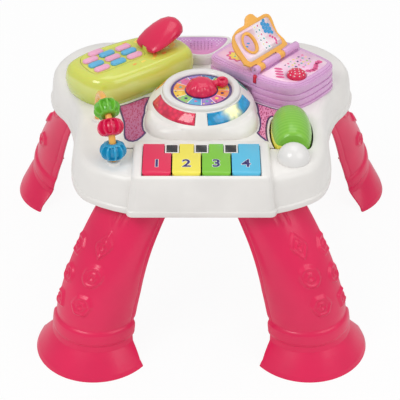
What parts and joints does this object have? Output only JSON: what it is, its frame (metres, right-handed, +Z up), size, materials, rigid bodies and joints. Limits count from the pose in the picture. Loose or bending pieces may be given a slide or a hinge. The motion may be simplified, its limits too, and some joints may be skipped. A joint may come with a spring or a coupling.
{
  "type": "musical activity table",
  "caption": "Toddler's activity table on curved splayed legs, with piano keys, a light-up dial, a toy telephone, a book with a turning page, a bead arch and a roller.",
  "frame": {"origin": "middle of the object's bounding box, on the floor", "axes": "+X to the right seen from the keyboard side, +Y to the rear, +Z up"},
  "size_m": [0.572, 0.5319, 0.3751],
  "materials": {
    "white": "satin moulded",
    "cover_white": "fine grain",
    "leg_crimson": "satin moulded",
    "crimson": "gloss moulded",
    "key_yellow": "gloss moulded",
    "key_green": "gloss moulded",
    "key_blue": "gloss moulded",
    "black": "satin",
    "steel": "drawn",
    "grey_rubber": "matt",
    "board_green": "lacquered board",
    "disc_print": "printed and laminated",
    "lamp_red": "translucent",
    "lamp_blue": "translucent",
    "lamp_amber": "translucent",
    "lamp_teal": "translucent",
    "lime": "gloss moulded",
    "cap_pink": "soft",
    "cap_blue": "soft",
    "lilac": "gloss moulded",
    "page_print": "printed",
    "orange": "gloss moulded",
    "bead_green": "gloss moulded",
    "bead_blue": "gloss moulded",
    "roller_green": "gloss, fine raised lines",
    "roller_yellow": "gloss moulded",
    "panel_pink": "printed film",
    "speaker_pink": "printed film",
    "cell": "printed sleeve",
    "contact": "plated"
  },
  "bodies": {
    "table": {"top_shell": "white", "bottom_cover": "cover_white", "dome_housing": "white", "speaker_housing": "white", "speaker_panel": "speaker_pink", "speaker_driver": "black", "leg_front_left": "leg_crimson", "leg_front_right": "leg_crimson", "leg_rear_left": "leg_crimson", "leg_rear_right": "leg_crimson", "key_rod": "steel", "black_key_inserts": "black", "key_contact_mat": "grey_rubber", "main_board": "board_green", "dial_board": "board_green", "dial_bezel": "white", "dial_disc": "disc_print", "phone_case": "lime", "phone_board": "board_green", "book_case": "lilac", "book_left_print": "page_print", "book_right_print": "page_print", "page_hinge_pin": "steel", "bead_rail": "orange", "roller_axle": "steel", "roller_cap": "white", "roller_rear_bearing": "white", "deco_panel_left": "panel_pink", "deco_panel_right": "panel_pink", "battery_door": "cover_white", "battery_door_screw": "steel", "batteries": "cell", "battery_contacts": "contact", "casing_screws": "steel"},
    "key_red": {"key_red": "crimson"},
    "key_yellow": {"key_yellow": "key_yellow"},
    "key_green": {"key_green": "key_green"},
    "key_blue": {"key_blue": "key_blue"},
    "dial": {"dial_knob": "crimson", "dial_spindle": "steel"},
    "light_button_red": {"light_button_red": "lamp_red"},
    "light_button_blue": {"light_button_blue": "lamp_blue"},
    "light_button_amber": {"light_button_amber": "lamp_amber"},
    "light_button_teal": {"light_button_teal": "lamp_teal"},
    "keypad": {"phone_keypad": "lime", "phone_keys_pink": "cap_pink", "phone_keys_blue": "cap_blue"},
    "handset": {"handset": "crimson", "handset_pin": "steel"},
    "page": {"page_frame": "orange", "page_print": "page_print", "page_window_ring": "orange"},
    "berry_button": {"berry_button": "crimson"},
    "page_sensor": {"page_sensor_pin": "crimson"},
    "bead_blue": {"bead_blue": "bead_blue"},
    "bead_crimson": {"bead_crimson": "crimson"},
    "bead_green": {"bead_green": "bead_green"},
    "roller": {"roller_green_half": "roller_green", "roller_yellow_half": "roller_yellow"},
    "power_switch": {"power_switch": "black"}
  },
  "joints": [
    {"name": "key_red_press", "type": "hinge", "parent": "table", "child": "key_red", "pos_m": [-0.057, -0.119, 0.2775], "axis": [1, 0, 0], "range_deg": [0, 3.5], "stiffness_Nm_per_rad": 0.1, "springref_deg": -17.19},
    {"name": "key_yellow_press", "type": "hinge", "parent": "table", "child": "key_yellow", "pos_m": [-0.019, -0.119, 0.2775], "axis": [1, 0, 0], "range_deg": [0, 3.5], "stiffness_Nm_per_rad": 0.1, "springref_deg": -17.19},
    {"name": "key_green_press", "type": "hinge", "parent": "table", "child": "key_green", "pos_m": [0.019, -0.119, 0.2775], "axis": [1, 0, 0], "range_deg": [0, 3.5], "stiffness_Nm_per_rad": 0.1, "springref_deg": -17.19},
    {"name": "key_blue_press", "type": "hinge", "parent": "table", "child": "key_blue", "pos_m": [0.057, -0.119, 0.2775], "axis": [1, 0, 0], "range_deg": [0, 3.5], "stiffness_Nm_per_rad": 0.1, "springref_deg": -17.19},
    {"name": "dial_turn", "type": "hinge", "parent": "table", "child": "dial", "pos_m": [0, -0.028, 0.3], "axis": [0, 0, 1], "continuous": true},
    {"name": "light_red_press", "type": "slide", "parent": "table", "child": "light_button_red", "axis": [0, 0, -1], "range_m": [0, 0.0025], "stiffness_N_per_m": 200, "springref_m": -0.004},
    {"name": "light_blue_press", "type": "slide", "parent": "table", "child": "light_button_blue", "axis": [0, 0, -1], "range_m": [0, 0.0025], "stiffness_N_per_m": 200, "springref_m": -0.004},
    {"name": "light_amber_press", "type": "slide", "parent": "table", "child": "light_button_amber", "axis": [0, 0, -1], "range_m": [0, 0.0025], "stiffness_N_per_m": 200, "springref_m": -0.004},
    {"name": "light_teal_press", "type": "slide", "parent": "table", "child": "light_button_teal", "axis": [0, 0, -1], "range_m": [0, 0.0025], "stiffness_N_per_m": 200, "springref_m": -0.004},
    {"name": "keypad_press", "type": "slide", "parent": "table", "child": "keypad", "axis": [0, 0, -1], "range_m": [0, 0.0015], "stiffness_N_per_m": 300, "springref_m": -0.004},
    {"name": "handset_flip", "type": "hinge", "parent": "table", "child": "handset", "pos_m": [-0.07577, 0.06169, 0.3262], "axis": [0.6225, -0.7826, 0], "range_deg": [-11.5, 45]},
    {"name": "page_turn", "type": "hinge", "parent": "table", "child": "page", "pos_m": [0.101, 0.036, 0.3229], "axis": [0.6561, 0.7547, 0], "range_deg": [-46, 125]},
    {"name": "berry_press", "type": "slide", "parent": "table", "child": "berry_button", "axis": [0, 0, -1], "range_m": [0, 0.002], "stiffness_N_per_m": 200, "springref_m": -0.004},
    {"name": "page_sensor_press", "type": "slide", "parent": "table", "child": "page_sensor", "axis": [0, 0, -1], "range_m": [0, 0.002], "stiffness_N_per_m": 50, "springref_m": -0.004},
    {"name": "bead_blue_slide", "type": "hinge", "parent": "table", "child": "bead_blue", "pos_m": [-0.1256, -0.1015, 0.29], "axis": [-0.9703, -0.2419, 0], "range_deg": [0, 37]},
    {"name": "bead_crimson_slide", "type": "hinge", "parent": "bead_blue", "child": "bead_crimson", "pos_m": [-0.1256, -0.1015, 0.29], "axis": [-0.9703, -0.2419, 0], "range_deg": [-5.1, 35]},
    {"name": "bead_green_slide", "type": "hinge", "parent": "bead_crimson", "child": "bead_green", "pos_m": [-0.1256, -0.1015, 0.29], "axis": [-0.9703, -0.2419, 0], "range_deg": [0, 29]},
    {"name": "roller_spin", "type": "hinge", "parent": "table", "child": "roller", "pos_m": [0.119, -0.084, 0.28], "axis": [0, 1, 0], "continuous": true},
    {"name": "power_switch_slide", "type": "slide", "parent": "table", "child": "power_switch", "axis": [1, 0, 0], "range_m": [0, 0.006]}
  ]
}
